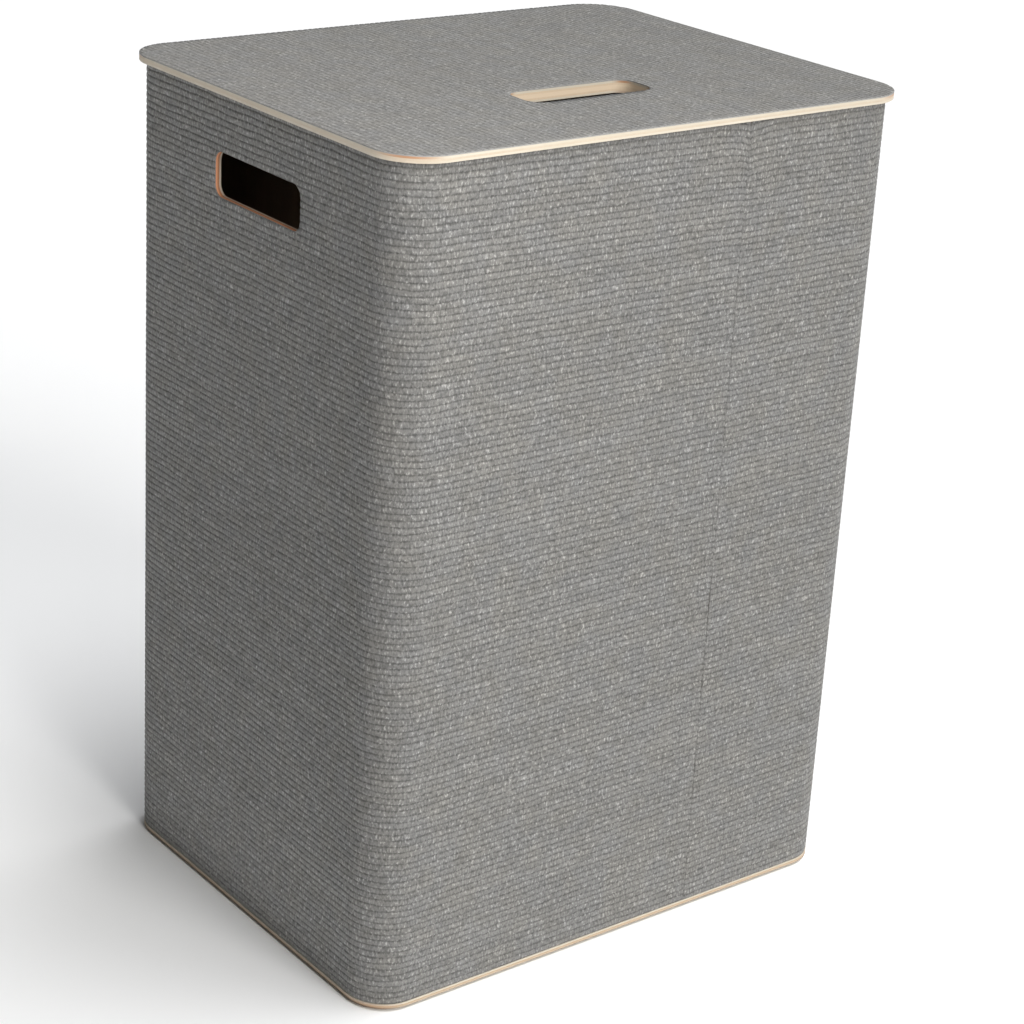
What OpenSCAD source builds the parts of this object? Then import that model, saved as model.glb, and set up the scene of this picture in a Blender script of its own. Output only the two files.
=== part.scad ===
// Laundry hamper with a lift-off lid, all sizes in millimetres.
// A sheet of three-ply birch is bent into a rounded box and wrapped in a ribbed textile.
// It stands on a plywood base, and a flat lid with a hand slot rests on its rim.
// +Z is up, +X runs along the front, the front faces -Y.
// The origin is on the floor under the middle of the hamper.

/* [Body] */
// Width of the body over its textile, along X
body_w = 420; // [360:1:600]
// Depth of the body over its textile, along Y
body_d = 330; // [290:1:500]
// Overall height from the floor to the top of the lid
total_h = 600; // [350:1:900]
// Corner radius of the body over its textile
corner_r = 30; // [25:1:60]
// Thickness of the textile glued to the wall and the lid
textile_t = 0.8; // [0.5:0.1:1.5]
// Thickness of one veneer of the wall, the lid board and the locating board
veneer_t = 1.4; // [1:0.1:2]
// Distance from the rim of the wall down to the top edge of its textile
rim_gap = 0.8; // [0:0.1:2]

/* [Wall seam] */
// Distance of the upright seam from the middle of the front
seam_x = 68; // [-80:1:80]
// Gap left where the two ends of the bent sheet meet
seam_gap = 0.4; // [0.2:0.1:1]
// Width of the batten glued over the seam inside
batten_w = 60; // [40:1:60]
// Thickness of the batten
batten_t = 3; // [2:0.5:6]
// Distance from the rim down to the end of the batten
batten_drop = 20; // [10:1:60]

/* [Hand holes] */
// Length of each hand hole, along the side
hole_l = 104; // [80:1:140]
// Height of each hand hole
hole_h = 31; // [25:1:45]
// Corner radius of each hand hole
hole_r = 8; // [4:1:12]
// Distance from the top of the lid down to the middle of the hand holes
hole_drop = 61; // [45:1:120]

/* [Lid] */
// How far the lid stands out past the body all round
lid_overhang = 5; // [2:0.5:10]
// Length of the slot in the lid, along X
slot_l = 104; // [80:1:140]
// Width of the slot in the lid, along Y
slot_w = 34; // [25:1:45]
// Corner radius of the slot
slot_r = 11; // [4:1:12]
// Distance of the slot from the middle of the lid, towards the front
slot_offset = 69; // [0:1:85]
// Clearance between the locating board and the wall, each side
locator_clearance = 1.5; // [0.5:0.5:4]

/* [Base] */
// Thickness of one veneer of the base board
base_veneer_t = 1.2; // [1:0.1:2]
// Thickness of one veneer of the inset board
inset_veneer_t = 1.8; // [1.4:0.1:3]
// Thickness of the felt glides
glide_t = 2; // [1:0.5:4]
// Radius of each felt glide
glide_r = 12; // [8:1:16]
// Distance of each glide's centre from the body's sides
glide_inset = 45; // [36:1:55]
// Distance of the outer screws from the body's sides
screw_inset = 30; // [20:1:34]
// Distance of the front and back screws from the middle, along X
screw_x = 90; // [60:1:100]

/* [Hidden] */
$fn = 96;

// Levels, from the floor up
base_t = 3 * base_veneer_t;
inset_t = 3 * inset_veneer_t;
wall_z0 = glide_t + base_t;
inset_z1 = wall_z0 + inset_t;
lid_t = 3 * veneer_t + textile_t;
wall_z1 = total_h - lid_t;
locator_z0 = wall_z1 - 3 * veneer_t;
hole_z = total_h - hole_drop;

// Depths below the textile's outer face
wall_t = 3 * veneer_t;
inside = textile_t + wall_t;

// The screws, with the play around them. They end in the middle veneer of the inset board.
screw_l = base_t + 2 * inset_veneer_t - 0.3;
head_r = 3;
head_l = 1.7;
shank_r = 1.5;
tip_l = 1;
tip_r = 0.3;
screw_play = 0.05;
recess_w = 0.8;
recess_depth = 1;

// Margin by which a cutting solid runs past what it cuts
over = 1;

birch = "#e9d6b4";
birch_core = "#c99c68";
textile_grey = "#8c8b87";
felt_grey = "#4b4a48";
steel = "#b9bcc0";

// A rectangle w by d with corners of radius r
module rounded(w, d, r) {
    square([w - 2 * r, d], center = true);
    square([w, d - 2 * r], center = true);
    for (x = [-1, 1], y = [-1, 1])
        translate([x * (w / 2 - r), y * (d / 2 - r)]) circle(r);
}

// The body's outline, depth millimetres inside the textile's outer face
module body_outline(depth) {
    rounded(body_w - 2 * depth, body_d - 2 * depth, corner_r - depth);
}

// A flat sheet with the body's outline, from z0 up
module sheet(depth, z0, t) {
    translate([0, 0, z0]) linear_extrude(t) body_outline(depth);
}

// One layer of the bent wall, between two depths, open at its seam and its hand holes.
// It ends drop millimetres below the rim.
module wall_layer(depth, t, drop = 0) {
    difference() {
        sheet(depth, wall_z0, wall_z1 - wall_z0 - drop);
        sheet(depth + t, wall_z0 - over, wall_z1 - wall_z0 + 2 * over);
        hand_hole_cut();
        seam_cut(depth, t);
    }
}

// A bar in the shape of the hand holes, through both sides of the body
module hand_hole_cut() {
    length = body_w + 2 * over;
    translate([-length / 2, 0, hole_z])
        rotate([90, 0, 90]) linear_extrude(length) rounded(hole_l, hole_h, hole_r);
}

// The narrow gap where the two ends of a wall layer meet
module seam_cut(depth, t) {
    translate([seam_x - seam_gap / 2, -body_d / 2 + depth - over, wall_z0 - over])
        cube([seam_gap, t + 2 * over, wall_z1 - wall_z0 + 2 * over]);
}

// A sheet of the lid, with its slot
module lid_sheet(depth, z0, t) {
    difference() {
        sheet(depth, z0, t);
        translate([0, -slot_offset, z0 - over])
            linear_extrude(t + 2 * over) rounded(slot_l, slot_w, slot_r);
    }
}

// Calls its children at each screw, on the floor plane
module at_screws() {
    for (x = [-screw_x, screw_x], y = [-1, 1])
        translate([x, y * (body_d / 2 - screw_inset), 0]) children();
    for (x = [-1, 1])
        translate([x * (body_w / 2 - screw_inset), 0, 0]) children();
}

// The space a screw takes in the boards, with its play
module screw_hole() {
    translate([0, 0, glide_t - over]) cylinder(r = shank_r + screw_play, h = screw_l + 2 * over);
    translate([0, 0, glide_t])
        cylinder(r1 = head_r + screw_play, r2 = shank_r + screw_play, h = head_l);
}

// A sheet of the base that the screws pass through
module screwed_sheet(depth, z0, t) {
    difference() {
        sheet(depth, z0, t);
        at_screws() screw_hole();
    }
}

// One countersunk screw with a cross recess, its head flush with the base's underside
module screw() {
    difference() {
        translate([0, 0, glide_t]) rotate_extrude() polygon([
            [0, 0], [head_r, 0], [shank_r, head_l],
            [shank_r, screw_l - tip_l], [tip_r, screw_l], [0, screw_l]
        ]);
        for (turn = [0, 90])
            rotate(turn) translate([-head_r / 2, -recess_w / 2, glide_t - over])
                cube([head_r, recess_w, recess_depth + over]);
    }
}

module wall_cover() {
    color(textile_grey) wall_layer(0, textile_t, rim_gap);
}

module wall_outer_veneer() {
    color(birch) wall_layer(textile_t, veneer_t);
}

module wall_core_veneer() {
    color(birch_core) wall_layer(textile_t + veneer_t, veneer_t);
}

module wall_inner_veneer() {
    color(birch) wall_layer(textile_t + 2 * veneer_t, veneer_t);
}

module seam_batten() {
    color(birch) translate([seam_x - batten_w / 2, -body_d / 2 + inside, inset_z1])
        cube([batten_w, batten_t, wall_z1 - batten_drop - inset_z1]);
}

module base_top_veneer() {
    color(birch) screwed_sheet(0, glide_t + 2 * base_veneer_t, base_veneer_t);
}

module base_core_veneer() {
    color(birch_core) screwed_sheet(0, glide_t + base_veneer_t, base_veneer_t);
}

module base_bottom_veneer() {
    color(birch) screwed_sheet(0, glide_t, base_veneer_t);
}

module inset_top_veneer() {
    color(birch) sheet(inside, wall_z0 + 2 * inset_veneer_t, inset_veneer_t);
}

module inset_core_veneer() {
    color(birch_core) screwed_sheet(inside, wall_z0 + inset_veneer_t, inset_veneer_t);
}

module inset_bottom_veneer() {
    color(birch) screwed_sheet(inside, wall_z0, inset_veneer_t);
}

module base_screws() {
    color(steel) at_screws() screw();
}

module felt_glides() {
    color(felt_grey)
        for (x = [-1, 1], y = [-1, 1])
            translate([x * (body_w / 2 - glide_inset), y * (body_d / 2 - glide_inset), 0])
                cylinder(r = glide_r, h = glide_t);
}

module lid_cover() {
    color(textile_grey) lid_sheet(-lid_overhang, total_h - textile_t, textile_t);
}

module lid_top_veneer() {
    color(birch) lid_sheet(-lid_overhang, wall_z1 + 2 * veneer_t, veneer_t);
}

module lid_core_veneer() {
    color(birch_core) lid_sheet(-lid_overhang, wall_z1 + veneer_t, veneer_t);
}

module lid_bottom_veneer() {
    color(birch) lid_sheet(-lid_overhang, wall_z1, veneer_t);
}

module locator_top_veneer() {
    color(birch) lid_sheet(inside + locator_clearance, locator_z0 + 2 * veneer_t, veneer_t);
}

module locator_core_veneer() {
    color(birch_core) lid_sheet(inside + locator_clearance, locator_z0 + veneer_t, veneer_t);
}

module locator_bottom_veneer() {
    color(birch) lid_sheet(inside + locator_clearance, locator_z0, veneer_t);
}

wall_cover();
wall_outer_veneer();
wall_core_veneer();
wall_inner_veneer();
seam_batten();
base_top_veneer();
base_core_veneer();
base_bottom_veneer();
inset_top_veneer();
inset_core_veneer();
inset_bottom_veneer();
base_screws();
felt_glides();
lid_cover();
lid_top_veneer();
lid_core_veneer();
lid_bottom_veneer();
locator_top_veneer();
locator_core_veneer();
locator_bottom_veneer();
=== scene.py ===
"""Looks of the laundry hamper: camera, light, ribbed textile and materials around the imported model.

Metres everywhere. The hamper's front faces -Y and its left side faces -X.
"""

import math

import bpy
import bmesh
import numpy as np
from mathutils import Matrix, Vector


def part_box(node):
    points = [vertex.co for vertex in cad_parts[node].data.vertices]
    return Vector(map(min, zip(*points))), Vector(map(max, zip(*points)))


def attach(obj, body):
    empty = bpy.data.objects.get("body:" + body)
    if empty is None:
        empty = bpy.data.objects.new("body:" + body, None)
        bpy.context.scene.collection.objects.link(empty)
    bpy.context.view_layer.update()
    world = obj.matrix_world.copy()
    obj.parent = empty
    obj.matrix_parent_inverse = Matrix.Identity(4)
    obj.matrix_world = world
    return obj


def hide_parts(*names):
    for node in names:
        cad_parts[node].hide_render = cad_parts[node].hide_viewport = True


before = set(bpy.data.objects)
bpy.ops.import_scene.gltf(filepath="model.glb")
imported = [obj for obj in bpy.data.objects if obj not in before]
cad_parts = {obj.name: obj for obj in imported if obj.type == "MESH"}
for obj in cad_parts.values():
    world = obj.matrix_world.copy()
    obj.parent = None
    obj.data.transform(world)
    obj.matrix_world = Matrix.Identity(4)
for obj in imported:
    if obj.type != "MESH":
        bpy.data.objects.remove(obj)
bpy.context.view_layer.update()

# Camera
CAMERA_PLACE = Vector((-1.0699, -1.3651, 0.9796))
CAMERA_AZIMUTH = math.radians(-38.446)
CAMERA_ELEVATION = math.radians(20.835)
CAMERA_ROLL = math.radians(3.294)
CAMERA_LENS = 89.69
CAMERA_SENSOR = 36
CAMERA_SHIFT = -0.06
CAMERA_CLIP = 100

# Light and floor
SURROUND_COLOUR = (0.93, 0.97, 1.0, 1)
SURROUND_STRENGTH = 0.08
KEY_COLOUR = (1.0, 0.985, 0.955)
SOFTBOX_COLOUR = (1.0, 0.985, 0.96)
FLOOR_REACH = 30

# Outlines, as the solids have them. The hand holes' drop is measured from the top of the lid.
BODY_CORNER = 0.030
LID_CORNER = 0.035
SEAM_X = 0.068
HOLE_LENGTH = 0.104
HOLE_HEIGHT = 0.031
HOLE_CORNER = 0.008
HOLE_DROP = 0.061
SLOT_LENGTH = 0.104
SLOT_WIDTH = 0.034
SLOT_CORNER = 0.011
SLOT_Y = -0.069

# Ribs of the textile: where each row of points lies across one pitch, and its share of the groove
RIB_PITCH = 0.0045
RIB_PROFILE = [(0.0, 1.0), (0.13, 0.38), (0.3, 0.0), (0.7, 0.0), (0.87, 0.38)]
WALL_GROOVE = 0.00040
LID_GROOVE = 0.00022

# Waves in the ribs' course and in the surface: their height, and their lengths along and across ribs
WANDER = 0.00032
WALL_WANDER_WAVES = [(0.083, 0.11), (0.051, 0.035), (0.031, 0.018)]
LID_WANDER_WAVES = [(0.091, 0.12), (0.047, 0.04), (0.029, 0.02)]
UNEVENNESS = 0.00012
WALL_UNEVEN_WAVES = [(0.19, 0.31), (0.12, 0.17), (0.07, 0.23)]
LID_UNEVEN_WAVES = [(0.21, 0.27), (0.13, 0.19)]
SEED = 7

# Columns of points across the ribs. More of them stand on the two sides next to the seam, where
# they crowd towards it.
COLUMN_STEP = 0.0125
CORNER_COLUMNS = 9
SEAM_COLUMNS = 4
SEAM_CROWDING = 1.7
LID_COLUMN_STEP = 0.006

# Textile made past the edges and cut off: in ribs on the wall, in metres on the lid
WALL_SPARE_RIBS = 1.6
LID_SPARE = 0.002

# Added to the number of each rib on the lid, so that its tones aren't those of the wall's ribs
LID_RIB_NUMBER = 500.0

# A face that turns outward by more than this belongs to the ribbed front
FRONT_LIMIT = 0.45

# The butt seam on the front: its gap, its slits by middle height, length and width, and its notch
# at the rim
SEAM_GAP = 0.00002
SEAM_SLITS = [
    (0.245, 0.030, 0.0006),
    (0.180, 0.012, 0.0005),
    (0.372, 0.010, 0.0004),
    (0.118, 0.016, 0.0004),
]
SEAM_NOTCH = 0.0010
SEAM_NOTCH_HEIGHT = 0.004

# Dips of the ribs beside the seam: how deep at the rim, and in what distance along the ribs they
# fade. They also fade below the rim. The ribs on the right miss those on the left by an offset.
SEAM_DIPS_RIGHT = [(0.0028, 0.014)]
SEAM_DIPS_LEFT = [(0.0026, 0.018), (0.0022, 0.005)]
SEAM_DIP_FADE = 0.042
SEAM_OFFSET = 0.0014
SEAM_OFFSET_REACH = 0.060

# Yarn colours: dark and light yarn, and the groove colour, painted darker as shade between the ribs
WALL_YARN = ((0.096, 0.094, 0.090), (0.283, 0.279, 0.268), (0.030, 0.029, 0.028))
LID_YARN = ((0.112, 0.110, 0.106), (0.302, 0.298, 0.287), (0.104, 0.102, 0.098))

# Birch colours
PALE = (0.57, 0.52, 0.435)
BROWN = (0.51, 0.45, 0.355)
END = (0.48, 0.35, 0.23)
CORE_PALE = (0.58, 0.48, 0.37)
CORE_BROWN = (0.52, 0.41, 0.30)
SAWN_FACE = (0.62, 0.50, 0.37)
SAWN_CORE = (0.60, 0.48, 0.35)
SLANT_BROWN = (0.40, 0.19, 0.09)
# Glue on the outer veneer, painted near black as shade in the gaps under the lid and at the seam
GLUE_PAINTED_SHADE = (0.10, 0.085, 0.07)
# The wall's inner face, darkened as painted shade for the inside of the hamper
INSIDE_PAINTED_SHADE = (0.26, 0.17, 0.11)


# ---------------------------------------------------------------- camera, light and floor


def add_object(name, data):
    """A new object in the scene."""
    obj = bpy.data.objects.new(name, data)
    bpy.context.scene.collection.objects.link(obj)
    return obj


def make_camera():
    """The camera, aimed by its azimuth, elevation and roll."""
    back = Vector((
        math.sin(CAMERA_AZIMUTH) * math.cos(CAMERA_ELEVATION),
        -math.cos(CAMERA_AZIMUTH) * math.cos(CAMERA_ELEVATION),
        math.sin(CAMERA_ELEVATION),
    ))
    level_right = (-back).cross(Vector((0, 0, 1))).normalized()
    level_up = back.cross(level_right)
    right = math.cos(CAMERA_ROLL) * level_right + math.sin(CAMERA_ROLL) * level_up
    up = -math.sin(CAMERA_ROLL) * level_right + math.cos(CAMERA_ROLL) * level_up
    turn = Matrix((right, up, back)).transposed().to_4x4()
    data = bpy.data.cameras.new("camera")
    data.lens = CAMERA_LENS
    data.sensor_width = CAMERA_SENSOR
    data.shift_y = CAMERA_SHIFT
    data.clip_end = CAMERA_CLIP
    camera = add_object("camera", data)
    camera.matrix_world = Matrix.Translation(CAMERA_PLACE) @ turn
    bpy.context.scene.camera = camera


def aim(lamp, place, target):
    """Puts a lamp at a place, pointing at a target."""
    lamp.location = place
    lamp.rotation_euler = (Vector(target) - Vector(place)).to_track_quat("-Z", "Y").to_euler()


def add_softbox(name, place, target, size, power, colour=(1, 1, 1)):
    """A rectangular area lamp, unseen by the camera."""
    data = bpy.data.lights.new(name, "AREA")
    data.shape = "RECTANGLE"
    data.size, data.size_y = size
    data.energy = power
    data.color = colour
    lamp = add_object(name, data)
    lamp.visible_camera = False
    aim(lamp, place, target)


def add_sun(name, place, strength, angle, colour=(1, 1, 1)):
    """A very soft distant lamp, shining from place towards the hamper."""
    data = bpy.data.lights.new(name, "SUN")
    data.energy = strength
    data.angle = math.radians(angle)
    data.color = colour
    aim(add_object(name, data), place, (0, 0, 0))


def make_light():
    """A dim surround, an overhead light, a low key from the front, a softbox by the front left corner
    and a reflector lying at the foot of the left side."""
    world = bpy.data.worlds.new("studio")
    world.use_nodes = True
    background = world.node_tree.nodes["Background"]
    background.inputs["Color"].default_value = SURROUND_COLOUR
    background.inputs["Strength"].default_value = SURROUND_STRENGTH
    bpy.context.scene.world = world
    bpy.context.scene.view_settings.view_transform = "Standard"
    add_sun("overhead", (0.42, -0.15, 1.0), strength=2.75, angle=50)
    add_sun("key", (0.05, -0.9, 0.42), strength=2.3, angle=30, colour=KEY_COLOUR)
    corner = (-0.17, -0.165, 0.54)
    add_softbox("high_front", (-0.33, -0.56, 0.95), corner, (0.35, 0.35), power=2.1, colour=SOFTBOX_COLOUR)
    add_softbox("reflector", (-0.31, 0.0, 0.003), (-0.31, 0.0, 1.0), (0.16, 0.33), power=0.12)


def make_floor():
    """A plain pale floor."""
    reach = FLOOR_REACH
    corners = [(-reach, -reach, 0), (reach, -reach, 0), (reach, reach, 0), (-reach, reach, 0)]
    mesh = bpy.data.meshes.new("floor")
    mesh.from_pydata(corners, [], [(0, 1, 2, 3)])
    floor = add_object("floor", mesh)
    nodes = Nodes("floor_paint")
    tint = nodes.noise(nodes.object_place(), 3.0, detail=3)
    colour = nodes.mix(tint, (0.935, 0.94, 0.95), (0.955, 0.96, 0.965))
    mesh.materials.append(nodes.finish(colour, nodes.span(tint, 0.55, 0.65)))


# ---------------------------------------------------------------- node helpers


class Nodes:
    """One material's node tree, with short calls to build it."""

    def __init__(self, name):
        self.material = bpy.data.materials.new(name)
        self.material.use_nodes = True
        self.tree = self.material.node_tree
        self.shader = self.tree.nodes["Principled BSDF"]

    def add(self, kind, **settings):
        """A new node with its settings."""
        node = self.tree.nodes.new(kind)
        for key, value in settings.items():
            setattr(node, key, value)
        return node

    def put(self, socket, value):
        """Links a socket to another, or sets it to a value."""
        if isinstance(value, bpy.types.NodeSocket):
            self.tree.links.new(value, socket)
        elif isinstance(value, (tuple, list)) and len(socket.default_value) == 4 and len(value) == 3:
            socket.default_value = (*value, 1)
        else:
            socket.default_value = value

    def math(self, operation, *values, clamp=False):
        """A Math node."""
        node = self.add("ShaderNodeMath", operation=operation, use_clamp=clamp)
        for socket, value in zip(node.inputs, values):
            self.put(socket, value)
        return node.outputs[0]

    def times(self, a, b):
        """A product."""
        return self.math("MULTIPLY", a, b)

    def weigh(self, a, share_a, b, share_b):
        """The sum of two values, each in its share."""
        return self.math("ADD", self.times(a, share_a), self.times(b, share_b))

    def vector(self, x, y, z):
        """Three numbers as a vector."""
        node = self.add("ShaderNodeCombineXYZ")
        for socket, value in zip(node.inputs, (x, y, z)):
            self.put(socket, value)
        return node.outputs[0]

    def split(self, vector):
        """A vector's three numbers."""
        node = self.add("ShaderNodeSeparateXYZ")
        self.put(node.inputs[0], vector)
        return node.outputs

    def scaled(self, vector, factors):
        """A vector times three factors."""
        node = self.add("ShaderNodeVectorMath", operation="MULTIPLY")
        self.put(node.inputs[0], vector)
        self.put(node.inputs[1], factors)
        return node.outputs[0]

    def object_place(self):
        """The place in the object's own metres."""
        return self.add("ShaderNodeTexCoord").outputs["Object"]

    def object_normal(self):
        """The surface's normal in the object's own axes."""
        return self.add("ShaderNodeTexCoord").outputs["Normal"]

    def facing(self, axis):
        """How squarely the surface faces along an axis of the object, from 0 to 1."""
        node = self.add("ShaderNodeVectorMath", operation="DOT_PRODUCT")
        self.put(node.inputs[0], self.object_normal())
        self.put(node.inputs[1], axis)
        return self.math("ABSOLUTE", node.outputs["Value"])

    def below_outline(self, half_x, half_y, radius):
        """Depth below the outline of an upright rounded box, as far as its corner radius."""
        x, y, _ = self.split(self.object_place())
        past = [
            self.math("MAXIMUM", self.math("SUBTRACT", self.math("ABSOLUTE", value), half - radius), 0.0)
            for value, half in ((x, half_x), (y, half_y))
        ]
        squares = [self.times(value, value) for value in past]
        return self.math("SUBTRACT", radius, self.math("SQRT", self.math("ADD", *squares)))

    def rounded_edge(self, low, high, lean):
        """The normal of an upright edge that leans up at its top and down at its bottom."""
        x, y, z = self.split(self.object_normal())
        height = self.split(self.object_place())[2]
        tilt = self.math("POWER", self.span(height, -1.0, 1.0, low, high), 3.0)
        upright = self.math("SUBTRACT", 1.0, self.math("ABSOLUTE", z))
        tilt = self.times(self.times(tilt, lean), upright)
        normal = self.add("ShaderNodeVectorMath", operation="NORMALIZE")
        self.put(normal.inputs[0], self.vector(x, y, self.math("ADD", z, tilt)))
        return normal.outputs[0]

    def attribute(self, name):
        """A named attribute of the mesh, as a vector."""
        return self.add("ShaderNodeAttribute", attribute_name=name).outputs["Vector"]

    def noise(self, vector, scale=1.0, detail=2.0, roughness=0.5, distortion=0.0):
        """Noise from 0 to 1, about 0.5 on average."""
        node = self.add("ShaderNodeTexNoise")
        self.put(node.inputs["Vector"], vector)
        self.put(node.inputs["Scale"], scale)
        self.put(node.inputs["Detail"], detail)
        self.put(node.inputs["Roughness"], roughness)
        self.put(node.inputs["Distortion"], distortion)
        return node.outputs[0]

    def random(self, value):
        """A random number from 0 to 1 for each value."""
        node = self.add("ShaderNodeTexWhiteNoise", noise_dimensions="1D")
        self.put(node.inputs["W"], value)
        return node.outputs["Value"]

    def span(self, value, low, high, start=0.0, end=1.0):
        """Value from start to end, mapped to low to high and held there."""
        node = self.add("ShaderNodeMapRange")
        for key, number in (
            ("Value", value), ("From Min", start), ("From Max", end), ("To Min", low), ("To Max", high),
        ):
            self.put(node.inputs[key], number)
        return node.outputs["Result"]

    def mix(self, factor, a, b, blend="MIX"):
        """One colour turning into another."""
        node = self.add("ShaderNodeMix", data_type="RGBA", blend_type=blend)
        self.put(node.inputs["Factor"], factor)
        self.put(node.inputs["A"], a)
        self.put(node.inputs["B"], b)
        return node.outputs["Result"]

    def bump(self, height, distance, below=None):
        """A bump, on top of another normal if given."""
        node = self.add("ShaderNodeBump")
        self.put(node.inputs["Height"], height)
        self.put(node.inputs["Distance"], distance)
        self.put(node.inputs["Strength"], 1.0)
        if below is not None:
            self.put(node.inputs["Normal"], below)
        return node.outputs["Normal"]

    def finish(self, colour, roughness, normal=None, **constants):
        """Joins the shader up. The constants are set on its own sockets."""
        self.put(self.shader.inputs["Base Color"], colour)
        self.put(self.shader.inputs["Roughness"], roughness)
        if normal is not None:
            self.put(self.shader.inputs["Normal"], normal)
        for key, value in constants.items():
            self.put(self.shader.inputs[key.replace("_", " ")], value)
        return self.material


# ---------------------------------------------------------------- materials


def yarn_tone(nodes, rib, fleck, fibre):
    """How light the yarn is: flecks and fibres, with slow changes from rib to rib and over the sheet."""
    cloud = nodes.noise(nodes.object_place(), 22.0, detail=4, roughness=0.6)
    patch = nodes.noise(nodes.object_place(), 130.0)
    tone = nodes.weigh(fleck, 0.74, fibre, 0.26)
    tone = nodes.math("ADD", tone, nodes.span(patch, -0.08, 0.02, 0.3, 0.7))
    tone = nodes.math("ADD", tone, nodes.span(nodes.random(rib), -0.05, 0.05))
    return nodes.math("ADD", tone, nodes.span(cloud, -0.03, 0.03, 0.3, 0.7), clamp=True)


def groove_dots(nodes, along, across):
    """How far a point is in the groove between two ribs, a row of dots between the warp threads."""
    groove_number = nodes.math("ROUND", across)
    place = nodes.vector(nodes.times(along, 520.0), nodes.times(groove_number, 5.3), 0.0)
    thread = nodes.noise(place)
    width = nodes.span(thread, 0.10, 0.34, 0.28, 0.72)
    depth = nodes.span(thread, 0.25, 1.0, 0.32, 0.60)
    away = nodes.math("PINGPONG", across, 0.5)
    inside = nodes.math("SUBTRACT", 1.0, nodes.math("DIVIDE", away, width), clamp=True)
    return nodes.times(inside, depth)


def textile(name, dark, light, groove, groove_shade_share):
    """Ribbed paper-yarn textile. The mesh's weave attribute says how far along a rib a point is,
    in metres, where it is across the ribs, in ribs, and 1 on a cut edge."""
    nodes = Nodes(name)
    along, across, cut_edge = nodes.split(nodes.attribute("weave"))
    rib = nodes.math("FLOOR", across)

    # Warp threads run across each rib and show as short upright flecks. A few of them get painted glints,
    # lighter than the light yarn.
    fleck_place = nodes.vector(nodes.times(along, 720.0), nodes.times(across, 1.5), nodes.times(rib, 3.17))
    warp = nodes.noise(fleck_place, roughness=0.6)
    fleck = nodes.span(warp, 0.0, 1.0, 0.28, 0.72)
    painted_glint = nodes.span(warp, 0.0, 1.0, 0.60, 0.72)
    fibre_place = nodes.vector(nodes.times(along, 2100.0), nodes.times(across, 5.0), rib)
    fibre = nodes.noise(fibre_place, detail=3, roughness=0.65)
    tone = yarn_tone(nodes, rib, fleck, fibre)
    colour = nodes.mix(tone, dark, light)
    # Painted glints: a few flecks lifted past the light yarn colour
    colour = nodes.mix(nodes.times(painted_glint, 0.55), colour, tuple(c * 1.75 for c in light))
    hue = nodes.span(nodes.noise(nodes.object_place(), 52.0), 0.0, 1.0, 0.35, 0.65)
    tint = nodes.mix(hue, (1.01, 1.0, 0.98), (0.99, 0.998, 1.018))
    colour = nodes.mix(1.0, colour, tint, "MULTIPLY")

    in_groove = groove_dots(nodes, along, across)
    # The groove mask paints the grooves darker: painted shade in the creases between the ribs
    colour = nodes.mix(nodes.times(in_groove, groove_shade_share), colour, groove)
    colour = nodes.mix(cut_edge, colour, light)
    height = nodes.weigh(fleck, 0.6, fibre, 0.4)
    normal = nodes.bump(nodes.math("SUBTRACT", height, nodes.times(in_groove, 0.8)), 0.00050)
    roughness = nodes.span(tone, 0.85, 0.50)
    constants = {"Sheen_Weight": 0.06, "Sheen_Roughness": 0.5, "Specular_IOR_Level": 0.25}
    return nodes.finish(colour, roughness, normal, **constants)


def by_grain(grain, along, across):
    """Three numbers for X, Y and Z: one on the grain's axis, and the other on the two across it."""
    return tuple(along if letter == grain else across for letter in "xyz")


def birch_figure(nodes, place, grain):
    """Fine streaks along the grain, the tone of the whole figure, and the pores."""
    stretch = by_grain(grain, 9.0, 240.0)
    streak = nodes.noise(nodes.scaled(place, stretch), detail=4, roughness=0.6, distortion=0.6)
    broad_place = nodes.scaled(place, tuple(value * 0.12 for value in stretch))
    broad = nodes.noise(broad_place, detail=3, distortion=1.2)
    pores = nodes.noise(nodes.scaled(place, by_grain(grain, 160.0, 2600.0)), detail=1)
    return streak, nodes.weigh(streak, 0.55, broad, 0.45), nodes.span(pores, 1.0, 0.0, 0.24, 0.38)


def slanted(nodes):
    """1 on an edge at 45 degrees to X and Y, 0 on one along either of them."""
    both = nodes.times(nodes.facing((1.0, 0.0, 0.0)), nodes.facing((0.0, 1.0, 0.0)))
    return nodes.math("POWER", nodes.times(both, 2.0), 1.5)


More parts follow.
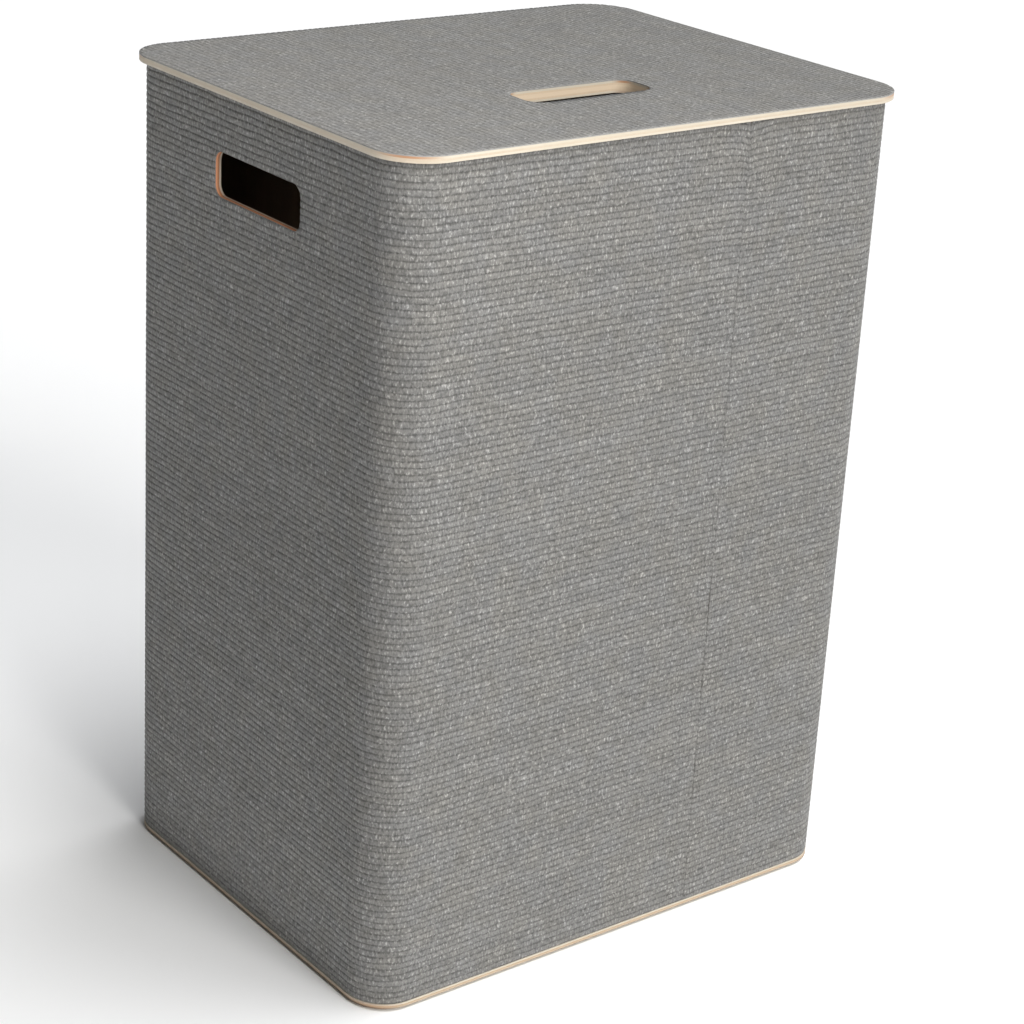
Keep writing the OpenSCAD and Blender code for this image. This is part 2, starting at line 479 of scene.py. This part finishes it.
def birch(name, grain, pale, brown, end, end_share, slant=0.0, sawn=None, skin=None, edge=None):
    """Birch veneer with its grain along an axis. Surfaces that face along the grain show the end
    colour by its share, and edges cut at a slant to the grain look browner by the slant share. sawn
    is the colour of the slot's edge. skin is the depth below the body's outline where a painted shade
    colour on the face starts and is full, and that colour. edge is the bottom and the top of the board,
    whose edge is rounded."""
    nodes = Nodes(name)
    place = nodes.object_place()
    streak, tone, pores = birch_figure(nodes, place, grain)
    brownness = nodes.span(tone, 0.0, 1.0, 0.36, 0.66)
    colour = nodes.mix(brownness, pale, brown)
    colour = nodes.mix(nodes.times(pores, 0.35), colour, end)

    cells = nodes.noise(place, 900.0, detail=3, roughness=0.7)
    end_grain = nodes.times(nodes.facing(by_grain(grain, 1.0, 0.0)), end_share)
    end_colour = nodes.mix(nodes.span(cells, 0.0, 1.0, 0.35, 0.65), end, tuple(c * 0.62 for c in end))
    colour = nodes.mix(end_grain, colour, end_colour)

    if slant:
        colour = nodes.mix(nodes.times(slanted(nodes), slant), colour, SLANT_BROWN)
    if sawn or skin:
        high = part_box("wall_cover")[1]
        depth = nodes.below_outline(high.x, high.y, BODY_CORNER)
    if sawn:
        upright = nodes.math("SUBTRACT", 1.0, nodes.facing((0.0, 0.0, 1.0)), clamp=True)
        within = nodes.times(nodes.span(depth, 0.0, 1.0, 0.006, 0.016), upright)
        colour = nodes.mix(within, colour, nodes.mix(end_grain, sawn, end_colour))
    # A painted shade colour on a face, from a given depth below the body's outline
    if skin:
        start, full, skin_shade_colour = skin
        painted_shade_skin = nodes.mix(brownness, skin_shade_colour, tuple(c * 0.8 for c in skin_shade_colour))
        colour = nodes.mix(nodes.span(depth, 0.0, 1.0, start, full), colour, painted_shade_skin)

    below = nodes.rounded_edge(*edge, 1.8) if edge else None
    height = nodes.math("SUBTRACT", nodes.math("ADD", streak, nodes.times(cells, 0.4)), pores)
    normal = nodes.bump(height, 0.00006, below=below)
    roughness = nodes.span(tone, 0.42, 0.6, 0.3, 0.7)
    return nodes.finish(colour, roughness, normal, Specular_IOR_Level=0.35)


def zinc_steel():
    """Zinc-plated steel, with a spangled plating and fine turning marks."""
    nodes = Nodes("zinc_steel")
    place = nodes.object_place()
    spangle = nodes.noise(place, 900.0, detail=3, distortion=0.8)
    marks = nodes.noise(nodes.scaled(place, (300.0, 300.0, 5200.0)))
    colour = nodes.mix(nodes.span(spangle, 0.0, 1.0, 0.3, 0.7), (0.50, 0.51, 0.53), (0.66, 0.67, 0.68))
    dull = nodes.span(spangle, 0.24, 0.42, 0.3, 0.7)
    roughness = nodes.math("ADD", dull, nodes.times(marks, 0.08))
    return nodes.finish(colour, roughness, nodes.bump(marks, 0.00004), Metallic=1.0)


def wool_felt():
    """Pressed wool felt: matted fibres and a little lint."""
    nodes = Nodes("wool_felt")
    place = nodes.object_place()
    fibre = nodes.noise(place, 1900.0, detail=4, roughness=0.75, distortion=1.5)
    lump = nodes.noise(place, 260.0, detail=3)
    tone = nodes.weigh(fibre, 0.7, lump, 0.3)
    lightness = nodes.span(tone, 0.0, 1.0, 0.35, 0.65)
    colour = nodes.mix(lightness, (0.045, 0.044, 0.042), (0.12, 0.118, 0.113))
    return nodes.finish(colour, nodes.span(fibre, 0.88, 1.0), nodes.bump(tone, 0.0004), Sheen_Weight=0.3)


# ---------------------------------------------------------------- closed meshes and cuts


def face_outward(mesh):
    """Turns the faces of a closed mesh outward."""
    shape = bmesh.new()
    shape.from_mesh(mesh)
    bmesh.ops.recalc_face_normals(shape, faces=shape.faces)
    shape.to_mesh(mesh)
    shape.free()


def rounded_outline(length, width, radius, steps=16):
    """Points of a rounded rectangle round the origin."""
    points = []
    for quarter, (sx, sy) in enumerate([(1, 1), (-1, 1), (-1, -1), (1, -1)]):
        for step in range(steps + 1):
            angle = math.pi / 2 * (quarter + step / steps)
            x = sx * (length / 2 - radius) + radius * math.cos(angle)
            y = sy * (width / 2 - radius) + radius * math.sin(angle)
            points.append((x, y))
    return points


def standing(x, y, height):
    """Where a point of an upright prism lies."""
    return (x, y, height)


def prism(outline, low, high, place=standing):
    """A closed prism. place turns outline x, outline y and height into a point."""
    count = len(outline)
    points = [place(x, y, low) for x, y in outline] + [place(x, y, high) for x, y in outline]
    sides = [(i, (i + 1) % count, (i + 1) % count + count, i + count) for i in range(count)]
    faces = sides + [tuple(range(count))[::-1], tuple(range(count, 2 * count))]
    mesh = bpy.data.meshes.new("cutter")
    mesh.from_pydata(points, [], faces)
    face_outward(mesh)
    return add_object("cutter", mesh)


def cut(piece, cutter, operation):
    """Cuts a closed piece with a closed cutter, which is then deleted."""
    modifier = piece.modifiers.new("cut", "BOOLEAN")
    modifier.object = cutter
    modifier.operation = operation
    modifier.solver = "MANIFOLD"
    graph = bpy.context.evaluated_depsgraph_get()
    mesh = bpy.data.meshes.new_from_object(piece.evaluated_get(graph), depsgraph=graph)
    piece.modifiers.clear()
    old = piece.data
    piece.data = mesh
    bpy.data.meshes.remove(old)
    bpy.data.objects.remove(cutter)


# ---------------------------------------------------------------- textile sheets


def ripple(along, across, lengths, seed):
    """A smooth pattern of about -1 to 1: slanted waves with the given lengths along and across."""
    draw = np.random.default_rng(seed)
    total = np.zeros(np.broadcast(along, across).shape)
    for length_along, length_across in lengths:
        turn = draw.uniform(0, 2 * math.pi)
        side = draw.choice([-1, 1])
        total += np.sin(2 * math.pi * (along / length_along + side * across / length_across) + turn)
    return total / math.sqrt(len(lengths))


def rib_rows(length, spare):
    """Places across the ribs for each row of points, in metres and in ribs, and the groove's share."""
    first = -math.ceil(spare / RIB_PITCH)
    last = math.ceil((length + spare) / RIB_PITCH)
    rows = [(rib + part, share) for rib in range(first, last) for part, share in RIB_PROFILE]
    ribs, share = np.array(rows).T
    return ribs * RIB_PITCH, ribs, share


def surface_depth(along, across, waves, seed, groove):
    """Depth below the outer face: slow unevenness and the grooves."""
    uneven = np.clip(0.5 + 0.3 * ripple(along, across, waves, seed), 0, 1)
    return UNEVENNESS * uneven + groove


def weave_values(along, ribs):
    """The weave attribute of each point, as textile() reads it."""
    return np.stack(np.broadcast_arrays(along, ribs[:, None], 0.0), axis=-1)


def closed_sheet(name, front, back, weave):
    """A closed sheet from a grid of front points, rows by columns, and the same grid on its back.
    The back is straight from its first row to its last, so only its border is used."""
    rows, columns = front.shape[:2]
    points = [front.reshape(-1, 3), back[:, 0], back[:, -1], back[0, 1:-1], back[-1, 1:-1]]
    number = np.arange(rows * columns).reshape(rows, columns)
    start = rows * columns + np.arange(rows)
    end = start + rows
    low = np.concatenate([[start[0]], end[-1] + 1 + np.arange(columns - 2), [end[0]]])
    high = np.concatenate([[start[-1]], low[-2] + 1 + np.arange(columns - 2), [end[-1]]])

    def strips(one, other):
        return np.stack([one[:-1], one[1:], other[1:], other[:-1]], axis=-1).reshape(-1, 4)

    quads = [
        strips(number[:-1].T, number[1:].T),
        strips(number[:, 0], start),
        strips(end, number[:, -1]),
        strips(low, number[0]),
        strips(number[-1], high),
        strips(high[1:-1], low[1:-1]),
    ]
    faces = np.concatenate(quads).tolist()
    faces.append([*start.tolist(), int(high[1]), int(low[1])])
    faces.append([*end[::-1].tolist(), int(low[-2]), int(high[-2])])
    mesh = bpy.data.meshes.new(name)
    mesh.from_pydata(np.concatenate(points).tolist(), [], faces)
    face_outward(mesh)

    values = np.zeros((len(mesh.vertices), 3))
    values[: rows * columns] = weave.reshape(-1, 3)
    corner = np.zeros(len(mesh.loops), dtype=np.int32)
    mesh.loops.foreach_get("vertex_index", corner)
    attribute = mesh.attributes.new("weave", "FLOAT_VECTOR", "CORNER")
    attribute.data.foreach_set("vector", values[corner].ravel())
    return add_object(name, mesh)


def read(items, key, size, kind=float):
    """One value of each item of a mesh, as an array with rows of the given size."""
    values = np.zeros(len(items) * size, dtype=kind)
    items.foreach_get(key, values)
    return values.reshape(-1, size)


def smooth_front(piece, outward):
    """Smooth shading on the ribbed front, flat shading on the back and on cut edges, and the weave
    attribute of a cut edge on all that isn't the front."""
    mesh = piece.data
    facing = (read(mesh.polygons, "normal", 3) * outward(read(mesh.polygons, "center", 3))).sum(axis=1)
    is_front = facing > FRONT_LIMIT
    mesh.polygons.foreach_set("use_smooth", is_front)

    corners = read(mesh.polygons, "loop_total", 1, np.int32)[:, 0]
    on_front = np.repeat(is_front, corners)
    vertex = read(mesh.loops, "vertex_index", 1, np.int32)[:, 0]
    place = read(mesh.vertices, "co", 3)[vertex]
    attribute = mesh.attributes["weave"].data
    weave = read(attribute, "vector", 3)
    edge_weave = np.stack([place.sum(axis=1), np.full(len(place), 0.5), np.ones(len(place))], axis=1)
    weave[~on_front] = edge_weave[~on_front]
    attribute.foreach_set("vector", weave.ravel())
    mesh.update()


# ---------------------------------------------------------------- the wall's textile


def wall_stations(half_x, half_y):
    """Columns round the body from the seam round to the seam: the centre of the corner circle as it
    slides round, its angle, and the length along the outline."""
    inner_x, inner_y = half_x - BODY_CORNER, half_y - BODY_CORNER
    corners = [(inner_x, -inner_y), (inner_x, inner_y), (-inner_x, inner_y), (-inner_x, -inner_y)]
    seam = (SEAM_X, -inner_y)
    stops = [seam, *corners, seam]
    stations = []
    for side in range(5):
        start, end = Vector(stops[side]), Vector(stops[side + 1])
        angle = math.pi / 2 * (side - 1)
        steps = max(2, round((end - start).length / COLUMN_STEP))
        if side in (0, 4):
            steps += SEAM_COLUMNS
        for step in range(steps):
            share = step / steps
            if side == 0:
                share = share ** SEAM_CROWDING
            if side == 4:
                share = 1 - (1 - share) ** SEAM_CROWDING
            stations.append((*start.lerp(end, share), angle))
        if side < 4:
            turns = [math.pi / 2 * step / CORNER_COLUMNS for step in range(CORNER_COLUMNS)]
            stations += [(*end, angle + turn) for turn in turns]
    stations.append((*seam, math.pi * 1.5))
    x, y, angle = np.array(stations).T
    slid = np.hypot(np.diff(x), np.diff(y))
    turned = BODY_CORNER * np.diff(angle)
    length = np.concatenate([[0], np.cumsum(slid + turned)])
    return x, y, angle, length


def seam_opening(height, top):
    """Half the width of the seam's gap at each height."""
    opening = np.full(height.shape, SEAM_GAP / 2)
    for middle, reach, width in SEAM_SLITS:
        opening += width / 2 * np.exp(-(((height - middle) / (reach / 2)) ** 4))
    opening += SEAM_NOTCH * np.clip(1 - (top - height) / SEAM_NOTCH_HEIGHT, 0, 1)
    return opening


def seam_drop(along, total):
    """How far the ribs dip beside the seam, at the top, and how far they miss each other there."""
    from_left = total - along
    right = sum(drop * np.exp(-along / reach) for drop, reach in SEAM_DIPS_RIGHT)
    left = sum(drop * np.exp(-from_left / reach) for drop, reach in SEAM_DIPS_LEFT)
    on_right = along < total / 2
    return np.where(on_right, right, left), on_right * SEAM_OFFSET * np.exp(-along / SEAM_OFFSET_REACH)


def rib_heights(along, height, top):
    """Heights of the wall's points: level ribs that wander a little, and dip and miss each other at
    the seam."""
    fade = np.exp(-(((top - height) / SEAM_DIP_FADE) ** 2))
    dip, offset = seam_drop(along, along[0, -1])
    height = height + WANDER * ripple(along, height, WALL_WANDER_WAVES, SEED)
    return height - dip * fade - offset


def wall_sheet(low, high, thickness):
    """The wall's textile before its cuts, and the length it was cut to."""
    x, y, angle, length = wall_stations(high.x, high.y)
    across, ribs, share = rib_rows(high.z - low.z, WALL_SPARE_RIBS * RIB_PITCH)
    along = length[None, :]
    height = rib_heights(along, low.z + across[:, None], high.z)
    groove = WALL_GROOVE * share[:, None]
    depth = surface_depth(along, height, WALL_UNEVEN_WAVES, SEED + 1, groove)

    gap = seam_opening(height, high.z)
    shift = np.zeros_like(height)
    shift[:, 0] = gap[:, 0]
    shift[:, -1] = -gap[:, -1]

    def at(depths):
        reach = BODY_CORNER - depths
        return np.stack([x + reach * np.cos(angle) + shift, y + reach * np.sin(angle), height], axis=-1)

    back = at(np.full_like(height, thickness))
    return closed_sheet("wall_textile", at(depth), back, weave_values(along, ribs)), float(length[-1])


def make_wall_cover():
    """The textile round the wall: ribs, hand holes and the butt seam on the front."""
    low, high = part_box("wall_cover")
    piece, length = wall_sheet(low, high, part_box("wall_outer_veneer")[0].x - low.x)
    big = 2 * high.x
    cut(piece, prism([(-big, -big), (big, -big), (big, big), (-big, big)], low.z, high.z), "INTERSECT")
    hole_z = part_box("lid_cover")[1].z - HOLE_DROP
    hole = rounded_outline(HOLE_LENGTH, HOLE_HEIGHT, HOLE_CORNER)
    cut(piece, prism(hole, -big, big, lambda y, z, x: (x, y, hole_z + z)), "DIFFERENCE")

    inner = np.array([high.x - BODY_CORNER, high.y - BODY_CORNER])

    def outward(centre):
        offset = centre[:, :2] - np.clip(centre[:, :2], -inner, inner)
        offset /= np.maximum(np.linalg.norm(offset, axis=1, keepdims=True), 1e-9)
        return np.concatenate([offset, np.zeros((len(offset), 1))], axis=1)

    smooth_front(piece, outward)
    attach(piece, "hamper")
    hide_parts("wall_cover")
    return piece


# ---------------------------------------------------------------- the lid's textile


def lid_sheet(low, high):
    """The lid's textile before its cuts, with its ribs along Y."""
    across, ribs, share = rib_rows(high.x - low.x, RIB_PITCH)
    columns = round((high.y - low.y) / LID_COLUMN_STEP)
    along = np.linspace(low.y - LID_SPARE, high.y + LID_SPARE, columns)[None, :]
    place = low.x + across[:, None]
    place = place + WANDER * ripple(along, place, LID_WANDER_WAVES, SEED + 2)
    groove = LID_GROOVE * share[:, None]
    depth = surface_depth(along, place, LID_UNEVEN_WAVES, SEED + 3, groove)
    along = np.broadcast_to(along, place.shape)
    front = np.stack([place, along, high.z - depth], axis=-1)
    back = np.stack([place, along, np.full_like(place, low.z)], axis=-1)
    return closed_sheet("lid_textile", front, back, weave_values(along, ribs + LID_RIB_NUMBER))


def make_lid_cover():
    """The textile on the lid: ribs, the rounded outline and the slot."""
    low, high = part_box("lid_cover")
    piece = lid_sheet(low, high)
    bottom, top = low.z - LID_SPARE, high.z + LID_SPARE
    outline = rounded_outline(high.x - low.x, high.y - low.y, LID_CORNER, 24)
    cut(piece, prism(outline, bottom, top), "INTERSECT")
    slot = rounded_outline(SLOT_LENGTH, SLOT_WIDTH, SLOT_CORNER)
    cut(piece, prism(slot, bottom, top, lambda x, y, z: (x, SLOT_Y + y, z)), "DIFFERENCE")
    smooth_front(piece, lambda centre: np.array([0.0, 0.0, 1.0]))
    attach(piece, "lid")
    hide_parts("lid_cover")
    return piece


# ---------------------------------------------------------------- paint


def paint(piece, material):
    """Gives a piece its one material."""
    piece.data.materials.clear()
    piece.data.materials.append(material)
    piece.data.polygons.foreach_set("material_index", [0] * len(piece.data.polygons))


def paint_node(name, material):
    """Gives a CAD node its one material."""
    paint(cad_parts[name], material)


def paint_plain_boards():
    """The inset board and the underside of the locating board: faces run along X, the core along Y."""
    face = birch("birch_face_x", "x", PALE, BROWN, END, 0.2, slant=0.3)
    core = birch("birch_core_y", "y", CORE_PALE, CORE_BROWN, END, 0.3)
    paint_node("inset_top_veneer", face)
    paint_node("inset_core_veneer", core)
    paint_node("inset_bottom_veneer", face)
    paint_node("locator_bottom_veneer", face)


def paint_lid_boards():
    """The lid board and the rest of the locating board, with the slot's sawn edge."""
    core_pale, core_brown, low_pale = (0.56, 0.49, 0.39), (0.52, 0.44, 0.34), (0.60, 0.55, 0.465)
    top = birch("birch_lid_top", "x", PALE, BROWN, END, 0.1, slant=0.85)
    core = birch("birch_lid_core", "y", core_pale, core_brown, END, 0.15, slant=0.1, sawn=SAWN_CORE)
    bottom = birch("birch_lid_low", "x", low_pale, BROWN, END, 0.05, slant=0.15, sawn=SAWN_FACE)
    paint_node("lid_top_veneer", top)
    paint_node("lid_core_veneer", core)
    paint_node("lid_bottom_veneer", bottom)
    locator_top = birch("birch_locator_x", "x", PALE, BROWN, END, 0.2, slant=0.6, sawn=SAWN_FACE)
    locator_core = birch(
        "birch_locator_y", "y", CORE_PALE, CORE_BROWN, END, 0.2, slant=0.6, sawn=SAWN_CORE
    )
    paint_node("locator_top_veneer", locator_top)
    paint_node("locator_core_veneer", locator_core)


def paint_base_boards():
    """The base board, with its rounded edge. Its lowest veneer's end grain, on the sides facing X, is
    darkened past its own colour as painted shade under the base.
    """
    edge = (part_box("base_bottom_veneer")[0].z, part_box("base_top_veneer")[1].z)
    core_pale, core_brown = (0.52, 0.40, 0.28), (0.46, 0.34, 0.23)
    low_pale, low_brown, low_end_painted_shade = (0.56, 0.47, 0.36), (0.50, 0.40, 0.29), (0.17, 0.11, 0.07)
    top = birch("birch_base_top", "x", PALE, BROWN, END, 0.1, slant=0.25, edge=edge)
    core = birch("birch_base_core", "y", core_pale, core_brown, END, 0.4, slant=0.3, edge=edge)
    # Painted shade: the lowest veneer's end grain is painted near black
    bottom = birch("birch_base_low", "x", low_pale, low_brown, low_end_painted_shade, 0.9, slant=0.25, edge=edge)
    paint_node("base_top_veneer", top)
    paint_node("base_core_veneer", core)
    paint_node("base_bottom_veneer", bottom)


def paint_wall_boards():
    """The wall's veneers, whose faces run upright, and its batten. The outer veneer's outer face is glue,
    painted near black as shade in the gaps under the lid and at the seam, and the inner veneer's inner
    face is darkened as painted shade for the inside of the hamper."""
    amber, amber_brown = (0.74, 0.35, 0.19), (0.66, 0.30, 0.16)
    core_pale, core_brown, core_end = (0.50, 0.23, 0.12), (0.42, 0.18, 0.09), (0.40, 0.17, 0.08)
    batten_pale, batten_brown = (0.30, 0.20, 0.13), (0.25, 0.16, 0.10)
    # Painted shade: the outer face, seen only in the gaps under the lid and at the seam, is painted near
    # black
    glue_shade_skin = (0.00088, 0.00084, GLUE_PAINTED_SHADE)
    # Painted shade: the inner face is darkened for the inside of the hamper
    painted_shade_skin = (0.00485, 0.00495, INSIDE_PAINTED_SHADE)
    outer = birch("birch_wall_outer", "z", amber, amber_brown, amber_brown, 0.2, skin=glue_shade_skin)
    core = birch("birch_wall_core", "x", core_pale, core_brown, core_end, 0.2)
    inner = birch("birch_wall_inner", "z", PALE, BROWN, END, 0.2, skin=painted_shade_skin)
    paint_node("wall_outer_veneer", outer)
    paint_node("wall_core_veneer", core)
    paint_node("wall_inner_veneer", inner)
    paint_node("seam_batten", birch("birch_batten", "z", batten_pale, batten_brown, END, 0.2))


# ---------------------------------------------------------------- put together


make_camera()
make_light()
make_floor()
paint(make_wall_cover(), textile("ribbed_wall_textile", *WALL_YARN, 0.6))
paint(make_lid_cover(), textile("ribbed_lid_textile", *LID_YARN, 0.5))
paint_plain_boards()
paint_lid_boards()
paint_base_boards()
paint_wall_boards()
paint_node("base_screws", zinc_steel())
paint_node("felt_glides", wool_felt())
